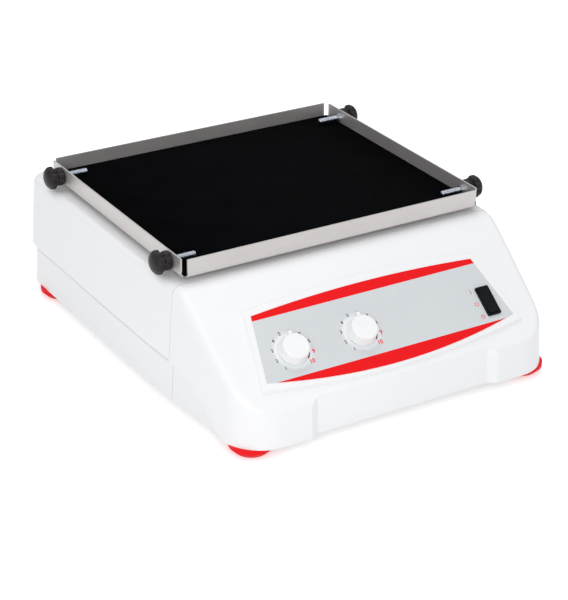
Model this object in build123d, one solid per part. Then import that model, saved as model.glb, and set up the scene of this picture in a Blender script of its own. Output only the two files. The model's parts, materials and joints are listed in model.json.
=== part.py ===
from build123d import *
import os
from math import acos, atan2, cos, degrees, pi, radians, sin, sqrt, tan

os.makedirs("parts", exist_ok=True)

# A bench-top orbital shaker. Millimetres. X is right, Y is back, Z is up.
# The origin is on the bench, under the middle of the overall box.

# Moulded housing
body_depth = 440.0
cover_half_width = 183.5
rear_corner_radius = 25.0
front_corner_radius = 40.0
side_sweep_radius = 1220.0
sweep_start_from_front = 205.0
foot_height = 10.0
deck_z = 126.0
shoulder_z = 54.0
parting_z = 47.0
parting_gap = 0.5
cover_draft = 3.8
overhang = 4.3
base_draft = 3.4
wall = 4.0
deck_thickness = 3.0
floor_thickness = 3.0
deck_edge_radius = 7.0
front_length = 125.0
seam_gap = 0.7
front_edge_radius = 9.0
deck_break_radius = 25.0
recess_depth = 5.0
recess_half_width = 94.0
recess_flank = 9.0
flank_radius = 2.5
crease_bulge = 9.0
crease_run = 82.0

# Sloped control panel, raised from the front housing
panel_slope = 36.6
panel_from_front = 25.1
panel_z = 64.0
plateau_height = 2.9
plateau_bevel = 2.2
plateau_margin = 8.0
label_top_half_width = 122.0
label_bottom_half_width = 136.2
label_height = 66.4
label_top_sagitta = 7.2
label_bottom_sagitta = 11.3
label_thickness = 0.5

# Dials and switch, placed on the panel by (across, up the slope)
speed_dial = (-98.3, 23.0)
time_dial = (-25.1, 23.0)
dial_base_radius = 14.6
dial_top_radius = 12.7
dial_height = 10.5
dial_lift = 0.5
dial_edge = 0.9
dial_roof = 2.5
dial_pocket_radius = 10.5
dial_pocket_depth = 4.0
pointer_width = 3.4
pointer_reach = 1.6
pot_shaft_radius = 3.0
pot_shaft_inside = 6.0
pot_bush_radius = 4.2
pot_body_radius = 12.0
pot_body_length = 10.0
pot_nut_width = 12.0
pot_nut_height = 2.2
switch_place = (116.6, 19.3)
switch_width = 15.0
switch_length = 31.0
bezel_height = 1.6
bezel_rim = 1.6
switch_body_depth = 22.0
rocker_rise = 2.4
rocker_pin_radius = 1.5
rocker_pin_length = 0.6
rocker_depth = 7.0

# Tray, mat and thumbscrews
tray_width = 330.0
tray_depth = 279.0
tray_rim = 17.9
sheet = 1.5
tray_lift = 5.1
tray_from_rear = 175.0
notch = 4.8
bend_radius = 2.0
mat_thickness = 3.0
mat_gap = 0.5
stud_radius = 3.0
stud_from_centre = 113.4
stud_above_tray = 9.0
stud_inside = 25.0
thumb_reach = 19.5
thumb_head_radius = 11.4
thumb_head_grip = 4.2
thumb_head_rim = 1.6
thumb_head_dome = 5.2
thumb_dome_radius = 6.4
thumb_hub_radius = 9.0
thumb_hub_length = 6.4
thumb_waist_radius = 7.0
thumb_wall_gap = 0.3
thumb_floor = 2.0
scallop_radius = 4.0
scallop_depth = 1.3
scallop_count = 8
wall_nut_radius = 4.4
wall_nut_length = 3.0

# Orbit drive
throw = 7.5
carrier_width = 250.0
carrier_depth = 200.0
carrier_thickness = 3.6
carrier_corner = 18.0
tray_screw_x = 108.0
tray_screw_y = 36.0
tray_screw_head = 4.2
cup_radius = 13.0
cup_depth = 10.0
cup_spigot_radius = 7.0
cup_sweep_gap = 1.4
pin_radius = 4.0
pin_race_radius = 6.0
pin_bearing_radius = 11.0
pin_bearing_width = 7.0
shaft_radius = 6.0
shaft_race_radius = 8.2
shaft_bearing_radius = 14.0
shaft_bearing_width = 8.0
shaft_waist_radius = 7.0
crank_radius = 20.0
crank_thickness = 6.0
crank_gap = 0.8
tower_radius = 19.0
flange_radius = 34.0
flange_thickness = 5.0
flange_bolt_radius = 27.0
flange_bolts = 3
rib_height = 24.0
rib_thickness = 4.0
plate_z = 58.0
plate_thickness = 4.0
plate_side_gap = 9.0
plate_end_gap = 7.0
plate_rear_gap = 24.0
spindle_from_plate_end = 55.5
idler_from_plate_rear = 88.5
idler_from_plate_side = 48.0

# Belt drive under the plate
pulley_radius = 60.0
pulley_width = 12.0
pulley_z = 38.0
pulley_rim = 2.6
pulley_web = 5.0
pulley_hub_radius = 15.0
pulley_shaft_radius = 5.0
pulley_rim_depth = 6.0
motor_pulley_radius = 15.0
motor_distance = 117.5
motor_radius = 31.0
motor_height = 48.0
motor_shaft_radius = 4.0
motor_shaft_inside = 28.0
motor_boss_radius = 10.0
motor_boss_height = 3.0
motor_pilot_radius = 12.0
motor_bolt_share = 0.72
belt_width = 8.0
belt_thickness = 2.2
belt_gap = 0.3
weight_radius = 52.0
weight_thickness = 14.0
weight_screw_reach = 36.0
weight_screw_back = 6.0
weight_shaft_stop = 1.0

# Fasteners, posts and clearances
run = 0.06
shield_gap = 0.1
fit = 0.15
tongue_gap = 0.4
post_gap = 0.3
seat_gap = 0.1
post_radius = 7.0
screw_radius = 2.1
screw_head_radius = 4.0
screw_head_height = 2.6
slot_width = 0.9
thread_reach = 14.0
short_reach = 6.0
cover_post_from_flank = 19.5
cover_post_from_seam = 29.0
cover_post_from_rear = 70.0
plate_post_inset = 14.0
front_post_from_flank = 53.5
front_post_from_front = 50.0
cover_sink = 3.2
front_sink = 0.8

# Feet
front_foot_from_flank = 32.5
rear_foot_from_flank = 20.5
foot_radius = 21.0
foot_tread_radius = 15.5
foot_round = 5.5
foot_front = 27.0
foot_rear = 41.0
foot_screw_sink = 4.0
foot_boss_height = 14.0

# Electronics and mains inlet
board_size = (140.0, 62.0, 1.6)
board_across = 10.0
board_from_seam = 45.0
board_z = 22.0
board_post_inset = 6.0
board_post_radius = 4.0
board_screw_radius = 1.3
board_screw_head = 2.6
transformer_core = (38.0, 34.0, 30.0)
transformer_coil = (28.0, 44.0, 20.0)
transformer_from_end = 31.0
capacitor_radius = 6.5
capacitor_height = 22.0
capacitor_pitch = 16.0
relay_size = (26.0, 13.0, 15.0)
cooler_size = (26.0, 32.0, 3.0)
cooler_fin = 2.0
cooler_fins = 5
cooler_height = 24.0
strip_size = (32.0, 8.0, 11.0)
vent_slot = (38.0, 4.0)
vent_pitch = 12.0
vent_rows = 5
vent_across = 42.0
vent_from_tray = 18.0
inlet_from_flank = 71.5
inlet_screw_radius = 1.5
inlet_screw_head = 2.8
inlet_screw_head_height = 1.1
inlet_z = 28.0
inlet_flange = (50.0, 23.0, 2.0)
inlet_body = (27.4, 19.8, 18.0)
inlet_cavity = (24.0, 16.4, 14.5)
inlet_screw_pitch = 40.0
inlet_pin = (2.0, 4.0, 12.0)
inlet_pin_pitch = 7.0

# Places worked out from the sizes above
front_y = -body_depth / 2
rear_y = body_depth / 2
base_z = foot_height
draft_rise = tan(radians(cover_draft))
shoulder_front_y = front_y + (shoulder_z - base_z) * draft_rise
base_inset = overhang - (parting_z - parting_gap - base_z) * tan(radians(base_draft))
seam_y = front_y + front_length
sweep_y = front_y + sweep_start_from_front
tray_y = rear_y - tray_from_rear
cover_post_x = cover_half_width - cover_post_from_flank
cover_post_ys = (seam_y + cover_post_from_seam, rear_y - cover_post_from_rear)
plate_half_width = cover_post_x - post_radius - plate_side_gap
plate_front = seam_y + plate_end_gap
plate_rear = rear_y - plate_rear_gap
plate_post_x = plate_half_width - plate_post_inset
plate_post_ys = (plate_front + plate_post_inset, plate_rear - plate_post_inset)
front_post = (cover_half_width - front_post_from_flank, front_y + front_post_from_front)
board_centre = (board_across, seam_y - board_from_seam)
inlet_x = inlet_from_flank - cover_half_width
front_foot = (cover_half_width - front_foot_from_flank, front_y + foot_front)
rear_foot = (cover_half_width - rear_foot_from_flank, rear_y - foot_rear)
tray_z = deck_z + tray_lift
slope = radians(panel_slope)
panel = Plane(origin=(0, front_y + panel_from_front, panel_z), x_dir=(1, 0, 0),
              z_dir=(0, -sin(slope), cos(slope)))
carrier_z = tray_z - carrier_thickness
cup_z = carrier_z - cup_depth
pin_bearing_z = cup_z + 0.5
crank_top_z = pin_bearing_z - 5.0
crank_z = crank_top_z - crank_thickness
plate_top_z = plate_z + plate_thickness
tower_top_z = crank_z - crank_gap
lower_bearing_z = plate_top_z + 2.0
upper_bearing_z = tower_top_z - shaft_bearing_width
drive_xy = (0.0, plate_front + spindle_from_plate_end)
idler_xy = (plate_half_width - idler_from_plate_side, plate_rear - idler_from_plate_rear)
spindles = (drive_xy, idler_xy, (-idler_xy[0], idler_xy[1]))
pins = [(x, y + throw) for x, y in spindles]
motor_xy = (0.0, drive_xy[1] + motor_distance)
belt_z = pulley_z + (pulley_width - belt_width) / 2
stud_z = tray_z + stud_above_tray
foot_places = [(sx * x, y) for x, y in (front_foot, rear_foot) for sx in (-1, 1)]


def save(node, shape):
    """Write one sub-part to its own file, named after its node."""
    export_step(shape if isinstance(shape, Compound) else Compound(children=[shape]), f"parts/{node}.step")


def group(solids):
    """Separate like solids that share one node."""
    return Compound(children=list(solids))


def rod(radius, z0, z1, xy=(0.0, 0.0)):
    """Upright cylinder between two heights."""
    return Pos(xy[0], xy[1], z0) * Cylinder(radius, z1 - z0, align=(Align.CENTER, Align.CENTER, Align.MIN))


def tube(outer, inner, z0, z1, xy=(0.0, 0.0)):
    """Upright ring between two heights."""
    return rod(outer, z0, z1, xy) - rod(inner, z0 - 1, z1 + 1, xy)


def block(x0, x1, y0, y1, z0, z1):
    """Box between two corners."""
    box = Box(x1 - x0, y1 - y0, z1 - z0)
    return Pos((x0 + x1) / 2, (y0 + y1) / 2, (z0 + z1) / 2) * box


def post(z0, z1, xy, radius=post_radius):
    """Eight-sided moulded screw post between two heights."""
    return extrude(Pos(xy[0], xy[1], z0) * RegularPolygon(radius, 8, major_radius=False), z1 - z0)


def mirrored(xy):
    """The place on the left and its twin on the right."""
    return [(-xy[0], xy[1]), (xy[0], xy[1])]


def on_panel(place, height=0.0):
    """Location on the sloped panel, with the given height along its normal."""
    return panel.location * Pos(place[0], place[1], height)


def screw(length, head_radius=screw_head_radius, radius=screw_radius, head_height=screw_head_height):
    """Hexagon-head screw pointing down from its seat at height 0."""
    return extrude(RegularPolygon(head_radius, 6), head_height) + rod(radius, -length, 0)


def countersink(length, head_radius, radius):
    """Flat-head screw without its slot, pointing down from height 0; also the cutter for its hole."""
    cone = Cone(radius, head_radius, head_radius - radius, align=(Align.CENTER, Align.CENTER, Align.MAX))
    return cone + rod(radius, -length, radius - head_radius)


def housing_outline(inset):
    """Plan of the whole housing at shoulder height, drawn in by an inset.

    The flanks run straight from the rear, then sweep in towards the front on one large arc.
    """
    half = cover_half_width - inset
    rear = rear_y - inset
    front = shoulder_front_y + inset
    bend = side_sweep_radius - inset

    def flank(y):
        return half - bend + sqrt(bend ** 2 - (y - sweep_y) ** 2)

    mid = (sweep_y + front) / 2
    edges = [Line((half, rear), (-half, rear)), Line((-half, rear), (-half, sweep_y)),
             ThreePointArc((-half, sweep_y), (-flank(mid), mid), (-flank(front), front)),
             Line((-flank(front), front), (flank(front), front)),
             ThreePointArc((flank(front), front), (flank(mid), mid), (half, sweep_y)),
             Line((half, sweep_y), (half, rear))]
    plan = Sketch() + make_face(edges)
    plan = fillet(plan.vertices().group_by(Axis.Y)[-1], rear_corner_radius - inset)
    return fillet(plan.vertices().group_by(Axis.Y)[0], front_corner_radius - inset)


def drafted(inset, z0, z1, draft):
    """Housing outline raised between two heights with a draft angle, drawn in by an inset at z0."""
    return extrude(Pos(0, 0, z0) * housing_outline(inset), z1 - z0, taper=draft)


def ahead_of(y, reach=400.0):
    return block(-reach, reach, y - reach, y, -reach, reach)


def behind(y, reach=400.0):
    return block(-reach, reach, y, y + reach, -reach, reach)


def under_crease():
    """Everything below the line where the front flank steps in."""
    start = (seam_y + 1.0, (shoulder_z + parting_z) / 2)
    end = (seam_y - crease_run, base_z)
    low = base_z - 20
    chord = (end[0] - start[0], end[1] - start[1])
    span = sqrt(chord[0] ** 2 + chord[1] ** 2)
    lift = (start[0] + chord[0] / 2 + chord[1] / span * crease_bulge,
            start[1] + chord[1] / 2 - chord[0] / span * crease_bulge)
    side = Plane.YZ * make_face([ThreePointArc(start, lift, end), Line(end, (end[0], low)),
                                 Line((end[0], low), (start[0], low)), Line((start[0], low), start)])
    return extrude(side, amount=cover_half_width * 2, both=True)


def front_profile(inset):
    """Side view of the front housing: deck, panel slope and floor line."""
    edge = panel.origin - panel.z_dir * (plateau_height + inset)
    out = front_y - 30.0
    top = deck_z - inset
    break_y = edge.Y + (top - edge.Z) / tan(slope)
    low_z = edge.Z + (out - edge.Y) * tan(slope)
    side = Polyline((seam_y + 20, base_z - 10), (out, base_z - 10), (out, low_z), (break_y, top),
                    (seam_y + 20, top), close=True)
    face = Sketch() + make_face(side)
    bend = [v for v in face.vertices() if abs(v.X - break_y) < 0.01]
    return extrude(Plane.YZ * fillet(bend, deck_break_radius), amount=cover_half_width * 2, both=True)


def front_form(inset):
    """Front housing with its swept flanks, drawn in by an inset."""
    low = base_z if inset == 0 else base_z - 5
    widening = (shoulder_z - low) * draft_rise
    outer = drafted(inset - widening, low, deck_z + 5, cover_draft)
    lower = drafted(inset + base_inset - (base_z - low) * tan(radians(base_draft)), low, shoulder_z, base_draft)
    under = Pos(0, 0, inset) * under_crease()
    form = (outer - under) + (lower & under)
    return form & front_profile(inset) & ahead_of(seam_y)


def plateau_outline(grow):
    """Raised panel outline: a trapezoid with bowed top and bottom edges, grown from the label's."""
    top = label_height + grow
    low = -grow
    wide_top = label_top_half_width + grow * 0.8
    wide_low = label_bottom_half_width + grow * 1.1
    face = make_face([Line((wide_low, low), (wide_top, top)),
                      ThreePointArc((wide_top, top), (0, top + label_top_sagitta), (-wide_top, top)),
                      Line((-wide_top, top), (-wide_low, low)),
                      ThreePointArc((-wide_low, low), (0, low - label_bottom_sagitta), (wide_low, low))])
    return Sketch() + face


def front_housing():
    """Moulded control housing: swept shell, two corner pillars, recessed apron and raised panel."""
    form = front_form(0.0)
    crown = [e for e in form.edges() if is_crown(e)]
    form = fillet(crown, front_edge_radius)
    form -= apron_recess()
    low = loft([panel * Pos(0, 0, -plateau_height - 3) * plateau_outline(plateau_margin + plateau_bevel * 0.6),
                panel * plateau_outline(plateau_margin - plateau_bevel)])
    low &= panel.location * Pos(0, 30, -8) * Box(400, 200, 16)
    form += low
    cavity = front_form(wall) & behind(front_y + recess_depth + 2 * wall)
    skin = front_form(wall / 2)
    form -= cavity
    post_low = base_z + floor_thickness + post_gap
    for xy in mirrored(front_post):
        form += post(post_low, deck_z, xy) & skin
        form -= rod(screw_radius + run, base_z, post_low + thread_reach, xy)
    for place in (speed_dial, time_dial):
        form -= on_panel(place) * Cylinder(pot_bush_radius + fit, 60)
    form -= on_panel(switch_place) * Box(switch_width - 2, switch_length - 2, 60)
    return form


def is_crown(edge):
    """True for the outer edge between the top faces and the upright ones."""
    mid = edge.position_at(0.5)
    box = edge.bounding_box()
    if box.min.Y > seam_y - 0.01 or box.max.Z < shoulder_z - 25 or box.min.Z < base_z + 10:
        return False
    inner_line = abs(mid.X) < 1.0 and box.size.X > 320 and box.min.Y > front_y + 10
    return not inner_line and box.size.Z < deck_z


def apron_recess():
    """Cutter for the shallow recess between the two front pillars."""
    wall_y = front_y + recess_depth
    reach = 20.0
    half_out = recess_half_width + recess_flank * (reach + recess_depth) / recess_depth
    plan = make_face(Polyline((-recess_half_width, wall_y), (recess_half_width, wall_y),
                              (half_out, front_y - reach), (-half_out, front_y - reach), close=True))
    cutter = extrude(Pos(0, 0, base_z - 1) * plan, amount=80.0, dir=(0, draft_rise, 1))
    flanks = cutter.edges().filter_by(lambda e: abs(e.position_at(0.5).Y - wall_y) < 4 and e.bounding_box().size.Z > 70)
    return fillet(flanks, flank_radius)


def top_cover():
    """Rear upper shell: drafted sides that roll under to the parting line, and the flat deck."""
    skirt_draft = degrees(atan2(overhang, shoulder_z - parting_z))

    def form(inset, low):
        upper = drafted(inset, shoulder_z, deck_z - (deck_thickness if inset else 0), cover_draft)
        skirt = drafted(inset + overhang, low, shoulder_z, -skirt_draft)
        return upper + skirt

    outer = form(0.0, parting_z)
    outer = fillet(outer.faces().sort_by(Axis.Z)[-1].edges(), deck_edge_radius)
    cover = outer - form(wall, parting_z - 0.01)
    for y in cover_post_ys:
        for xy in mirrored((cover_post_x, y)):
            cover += post(parting_z, deck_z - 1, xy) - rod(screw_radius + run, parting_z - 1, deck_z - 1, xy)
    cover &= behind(seam_y + seam_gap)
    for xy in spindles:
        cover -= rod(cup_radius + throw + cup_sweep_gap, deck_z - 20, deck_z + 1, xy)
    return cover


def base_pan():
    """Lower tray of the housing: floor, rear side walls and the posts that carry the works."""
    top = parting_z - parting_gap
    walls = drafted(base_inset, base_z, top, base_draft)
    walls -= drafted(base_inset + wall, base_z, top + 0.01, base_draft) & block(-300, 300, -300, 300,
                                                                                base_z + floor_thickness, top + 1)
    pan = walls & behind(seam_y + seam_gap)
    tongue_inset = base_inset + wall + tongue_gap
    tongue = extrude(Pos(0, 0, base_z) * housing_outline(tongue_inset), floor_thickness)
    tongue &= behind(front_y + recess_depth + 2 * wall + fit) & ahead_of(seam_y + seam_gap + wall)
    pan += tongue
    for y in cover_post_ys:
        for xy in mirrored((cover_post_x, y)):
            pan += post(base_z, top, xy)
            pan -= sink(xy, top, cover_sink)
    for y in plate_post_ys:
        for xy in mirrored((plate_post_x, y)):
            pan += post(base_z, plate_z, xy)
            pan -= rod(screw_radius + run, plate_z - thread_reach, plate_z + 1, xy)
    for xy in board_posts():
        pan += post(base_z, board_z, xy, board_post_radius)
        pan -= rod(board_screw_radius + run, board_z - short_reach, board_z + 1, xy)
    for xy in mirrored(front_post):
        pan -= sink(xy, base_z + floor_thickness + 1, front_sink)
    for xy in foot_places:
        pan += post(base_z, base_z + foot_boss_height, xy)
        pan -= rod(screw_radius + run, base_z - 1, base_z + foot_boss_height - 1, xy)
    long, narrow = vent_slot
    for row in range(vent_rows):
        y = tray_y - vent_from_tray + vent_pitch * row
        for x in (-vent_across, vent_across):
            pan -= block(x - long / 2, x + long / 2, y - narrow / 2, y + narrow / 2, base_z - 1,
                         base_z + floor_thickness + 1)
    pan -= inlet_location() * Box(inlet_body[0] + 2 * fit, inlet_body[1] + 2 * fit, 4 * wall)
    for side in (-1, 1):
        hole = Cylinder(inlet_screw_radius + run, 4 * wall)
        pan -= inlet_location() * Pos(side * inlet_screw_pitch / 2, 0, 0) * hole
    return pan


def sink(xy, top, depth):
    """Counterbored screw hole from the underside."""
    hole = rod(screw_radius + fit, base_z - 1, top + 1, xy)
    return hole + rod(screw_head_radius + fit, base_z - 1, base_z + depth, xy)


def board_posts():
    half_x = board_size[0] / 2 - board_post_inset
    half_y = board_size[1] / 2 - board_post_inset
    return [(board_centre[0] + sx * half_x, board_centre[1] + sy * half_y) for sx in (-1, 1) for sy in (-1, 1)]


def inlet_location():
    """Place on the drafted rear wall, with its normal out of the wall."""
    tilt = radians(base_draft)
    y = rear_y - base_inset - (inlet_z - base_z) * tan(tilt)
    return Plane(origin=(inlet_x, y, inlet_z), x_dir=(-1, 0, 0), z_dir=(0, cos(tilt), sin(tilt))).location


def foot():
    """Round rubber foot, narrower at the floor, with a sunk screw."""
    side = Polyline((screw_radius + fit, foot_screw_sink), (screw_head_radius + 1, foot_screw_sink),
                    (screw_head_radius + 1, 0), (foot_tread_radius, 0), (foot_radius, foot_round),
                    (foot_radius, foot_height), (screw_radius + fit, foot_height), close=True)
    return revolve(Plane.XZ * make_face(side), Axis.Z)


def tray():
    """Folded sheet tray with open corner notches, stud holes and countersunk fixing holes."""
    body = block(-tray_width / 2, tray_width / 2, -tray_depth / 2, tray_depth / 2, 0, tray_rim)
    body = fillet(body.edges().group_by(Axis.Z)[0], bend_radius)
    well = block(sheet - tray_width / 2, tray_width / 2 - sheet, sheet - tray_depth / 2, tray_depth / 2 - sheet,
                 sheet, tray_rim + 1)
    body -= fillet(well.edges().group_by(Axis.Z)[0], 0.5)
    for sx in (-1, 1):
        for sy in (-1, 1):
            body -= Pos(sx * tray_width / 2, sy * tray_depth / 2, 0) * Box(2 * notch, 2 * notch, 3 * tray_rim)
            bar = Cylinder(stud_radius + 0.4, 4 * sheet, rotation=(0, 90, 0))
            body -= Pos(sx * tray_width / 2, sy * stud_from_centre, stud_above_tray) * bar
    for x, y in tray_screw_places():
        body -= Pos(x, y, sheet) * countersink(sheet + 4, tray_screw_head + fit, screw_radius + fit)
    return Pos(0, tray_y, tray_z) * body


def tray_screw_places():
    return [(sx * tray_screw_x, sy * tray_screw_y) for sx in (-1, 1) for sy in (-1, 1)]


def carrier():
    """Moving plate under the tray, with seats for the three bearing cups."""
    plate = extrude(RectangleRounded(carrier_width, carrier_depth, carrier_corner), carrier_thickness)
    for x, y in pins:
        plate -= rod(cup_spigot_radius + run, -1, carrier_thickness + 1, (x, y - tray_y))
    for x, y in tray_screw_places():
        plate -= Pos(x, y, carrier_thickness + sheet) * countersink(20, tray_screw_head + fit, screw_radius + run)
    return Pos(0, tray_y, carrier_z) * plate


def pin_cup(xy):
    """Turned cup for a pin bearing, its spigot pressed into the carrier."""
    cup = rod(cup_radius, cup_z, carrier_z, xy) + rod(cup_spigot_radius, carrier_z, tray_z - 0.2, xy)
    return cup - rod(pin_bearing_radius + 0.02, cup_z - 1, pin_bearing_z + pin_bearing_width, xy)


def crank(xy, shaft_low):
    """Crank: shaft with bearing seats, head disc and the offset pin."""
    x, y = xy
    seats = rod(shaft_radius, shaft_low, crank_z, xy)
    waist = rod(shaft_waist_radius, lower_bearing_z + shaft_bearing_width, upper_bearing_z, xy)
    head = rod(crank_radius, crank_z, crank_top_z, xy)
    pin_xy = (x, y + throw)
    collar = rod(pin_race_radius - 0.6, crank_top_z, pin_bearing_z, pin_xy)
    pin = rod(pin_radius, pin_bearing_z, pin_bearing_z + pin_bearing_width - 0.3, pin_xy)
    return seats + waist + head + collar + pin


def races(xy):
    """Inner races that turn with a crank: two on its shaft and one on its pin."""
    pin_xy = (xy[0], xy[1] + throw)
    shaft_races = [tube(shaft_race_radius, shaft_radius, z, z + shaft_bearing_width, xy)
                   for z in (lower_bearing_z, upper_bearing_z)]
    return group(shaft_races + [tube(pin_race_radius, pin_radius, pin_bearing_z,
                                     pin_bearing_z + pin_bearing_width - 0.3, pin_xy)])


def bearing_housing(xy):
    """Flanged tower that holds the two ball bearings of one crank."""
    body = rod(flange_radius, plate_top_z, plate_top_z + flange_thickness, xy)
    body += rod(tower_radius, plate_top_z, tower_top_z, xy)
    side = Polyline((tower_radius - 2, plate_top_z + 1), (flange_radius - 2, plate_top_z + 1),
                    (flange_radius - 2, plate_top_z + flange_thickness + 1),
                    (tower_radius - 2, plate_top_z + rib_height), close=True)
    rib = extrude(Plane.XZ * make_face(side), amount=rib_thickness / 2, both=True)
    for k in range(flange_bolts):
        body += Pos(xy[0], xy[1], 0) * Rot(0, 0, 360 * (k + 0.5) / flange_bolts) * rib
    body -= rod(shaft_waist_radius + 3, plate_top_z - 1, tower_top_z + 1, xy)
    body -= rod(shaft_bearing_radius, lower_bearing_z - 3, lower_bearing_z + shaft_bearing_width, xy)
    body -= rod(shaft_bearing_radius, upper_bearing_z, tower_top_z + 1, xy)
    for x, y in flange_bolt_places(xy):
        body -= rod(screw_radius + fit, plate_top_z - 1, plate_top_z + flange_thickness + 1, (x, y))
    return body


def flange_bolt_places(xy):
    step = 2 * pi / flange_bolts
    return [(xy[0] + flange_bolt_radius * cos(step * k), xy[1] + flange_bolt_radius * sin(step * k))
            for k in range(flange_bolts)]


def chassis_plate():
    """Steel plate that carries the bearing housings on top and the belt drive below."""
    depth = plate_rear - plate_front
    plate = extrude(Pos(0, (plate_front + plate_rear) / 2, plate_z)
                    * RectangleRounded(2 * plate_half_width, depth, 12), plate_thickness)
    for xy in spindles:
        plate -= rod(shaft_radius + 3, plate_z - 1, plate_top_z + 1, xy)
        for hole in flange_bolt_places(xy):
            plate -= rod(screw_radius + run, plate_z - 1, plate_top_z + 1, hole)
    plate -= rod(motor_pilot_radius, plate_z - 1, plate_top_z + 1, motor_xy)
    for xy in motor_screw_places():
        plate -= rod(screw_radius + fit, plate_z - 1, plate_top_z + 1, xy)
    for y in plate_post_ys:
        for xy in mirrored((plate_post_x, y)):
            plate -= rod(screw_radius + fit, plate_z - 1, plate_top_z + 1, xy)
    return plate


def motor_screw_places():
    reach = motor_radius * motor_bolt_share / sqrt(2)
    return [(motor_xy[0] + sx * reach, motor_xy[1] + sy * reach) for sx in (-1, 1) for sy in (-1, 1)]


def motor():
    """Upright motor can with its end bells, bolted on top of the plate."""
    top = plate_top_z + motor_height
    can = rod(motor_radius, plate_top_z, top, motor_xy)
    can = chamfer(can.edges().group_by(Axis.Z)[-1], motor_boss_height)
    can += rod(motor_boss_radius, top, top + motor_boss_height, motor_xy)
    can -= rod(motor_shaft_radius + run, plate_z - 1, plate_top_z + motor_shaft_inside + 1, motor_xy)
    for xy in motor_screw_places():
        can -= rod(screw_radius + run, plate_top_z - 1, plate_top_z + short_reach + 1, xy)
    return can


def groove_pulley(radius, bore, hub, z0, xy):
    """Flat-belt pulley: rim between two flanges, web, hub and bore."""
    low, high = z0, z0 + pulley_width
    wheel = rod(radius + pulley_rim, low, high, xy)
    wheel -= tube(radius + pulley_rim + 1, radius, belt_z - belt_gap, belt_z + belt_width + belt_gap, xy)
    if hub < radius / 3:
        wheel -= tube(radius - pulley_rim_depth, hub, low + pulley_web, high + 1, xy)
    return wheel - rod(bore, low - 1, high + 1, xy)


def loop(extra):
    """Outline of a belt that is wrapped round both pulleys with some extra radius."""
    big, small = pulley_radius + extra, motor_pulley_radius + extra
    spread = acos((big - small) / motor_distance)
    points = []
    for radius, centre, side in ((big, drive_xy, 1), (small, motor_xy, 1), (small, motor_xy, -1), (big, drive_xy, -1)):
        a = pi / 2 + side * spread
        points.append((centre[0] + radius * cos(a), centre[1] + radius * sin(a)))
    face = Sketch() + make_face(Polyline(*points, close=True))
    return face + Pos(*drive_xy) * Circle(big) + Pos(*motor_xy) * Circle(small)


def belt():
    ring = extrude(loop(belt_gap + belt_thickness), belt_width) - extrude(loop(belt_gap), belt_width)
    return Pos(0, 0, belt_z) * ring


def counterweight():
    """Half disc under the pulley, opposite the pin, that balances the tray."""
    top = pulley_z
    body = rod(weight_radius, top - weight_thickness, top, drive_xy)
    body -= block(-200, 200, drive_xy[1], drive_xy[1] + 200, 0, 100)
    body += rod(pulley_hub_radius, top - weight_thickness, top, drive_xy)
    for xy in weight_screw_places():
        body -= rod(screw_radius + run, top - weight_thickness - 1, top + 1, xy)
    return body - rod(pulley_shaft_radius, 0, 100, drive_xy)


def weight_screw_places():
    return [(drive_xy[0] + sx * weight_screw_reach, drive_xy[1] - weight_screw_back) for sx in (-1, 1)]


def scalloped(radius, height):
    """Disc with shallow finger scallops round its edge."""
    disc = rod(radius, 0, height)
    for k in range(scallop_count):
        a = 2 * pi * k / scallop_count
        reach = radius + scallop_radius - scallop_depth
        disc -= rod(scallop_radius, -1, height + 1, (reach * cos(a), reach * sin(a)))
    return disc


def thumb_knob():
    """Thumbscrew head, waist and hub, along +X from the tray wall: a scalloped grip under a domed disc."""
    length = thumb_reach - thumb_wall_gap
    rim_z = length - thumb_head_dome - thumb_head_rim
    grip_z = rim_z - thumb_head_grip
    up = (Align.CENTER, Align.CENTER, Align.MIN)
    knob = rod(thumb_hub_radius, 0, thumb_hub_length) + rod(thumb_waist_radius, 0, length - thumb_head_dome)
    knob += Pos(0, 0, grip_z) * scalloped(thumb_head_radius, thumb_head_grip)
    knob += rod(thumb_head_radius, rim_z, rim_z + thumb_head_rim)
    shoulder = (thumb_head_radius + thumb_dome_radius) / 2
    lower = thumb_head_dome * 0.4
    knob += Pos(0, 0, rim_z + thumb_head_rim) * Cone(thumb_head_radius, shoulder, lower, align=up)
    knob += Pos(0, 0, rim_z + thumb_head_rim + lower) * Cone(shoulder, thumb_dome_radius / 2,
                                                             thumb_head_dome - lower, align=up)
    knob -= rod(stud_radius + run, -1, length - thumb_floor)
    return Pos(thumb_wall_gap, 0, 0) * Rot(0, 90, 0) * knob


def thumb_place(sx, sy):
    """Location of a tray wall's outer face at one thumbscrew, with +X out of the tray."""
    turn = 0 if sx > 0 else 180
    return Pos(sx * tray_width / 2, tray_y + sy * stud_from_centre, stud_z) * Rot(0, 0, turn)


def stud():
    """Threaded stud from inside the tray to inside the knob."""
    inner = -sheet - stud_inside
    outer = thumb_reach - thumb_floor - 0.3
    rod_x = Cylinder(stud_radius, outer - inner, rotation=(0, 90, 0), align=(Align.CENTER, Align.CENTER, Align.MIN))
    rod_x = chamfer(rod_x.edges().group_by(Axis.X)[0], 0.7)
    return Pos(inner, 0, 0) * rod_x


def wall_nut():
    """Round press-in nut on the inside of a tray wall."""
    nut = Cylinder(wall_nut_radius, wall_nut_length, rotation=(0, 90, 0), align=(Align.CENTER, Align.CENTER, Align.MAX))
    nut -= Cylinder(stud_radius + run, 30, rotation=(0, 90, 0))
    return Pos(-sheet, 0, 0) * nut


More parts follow.
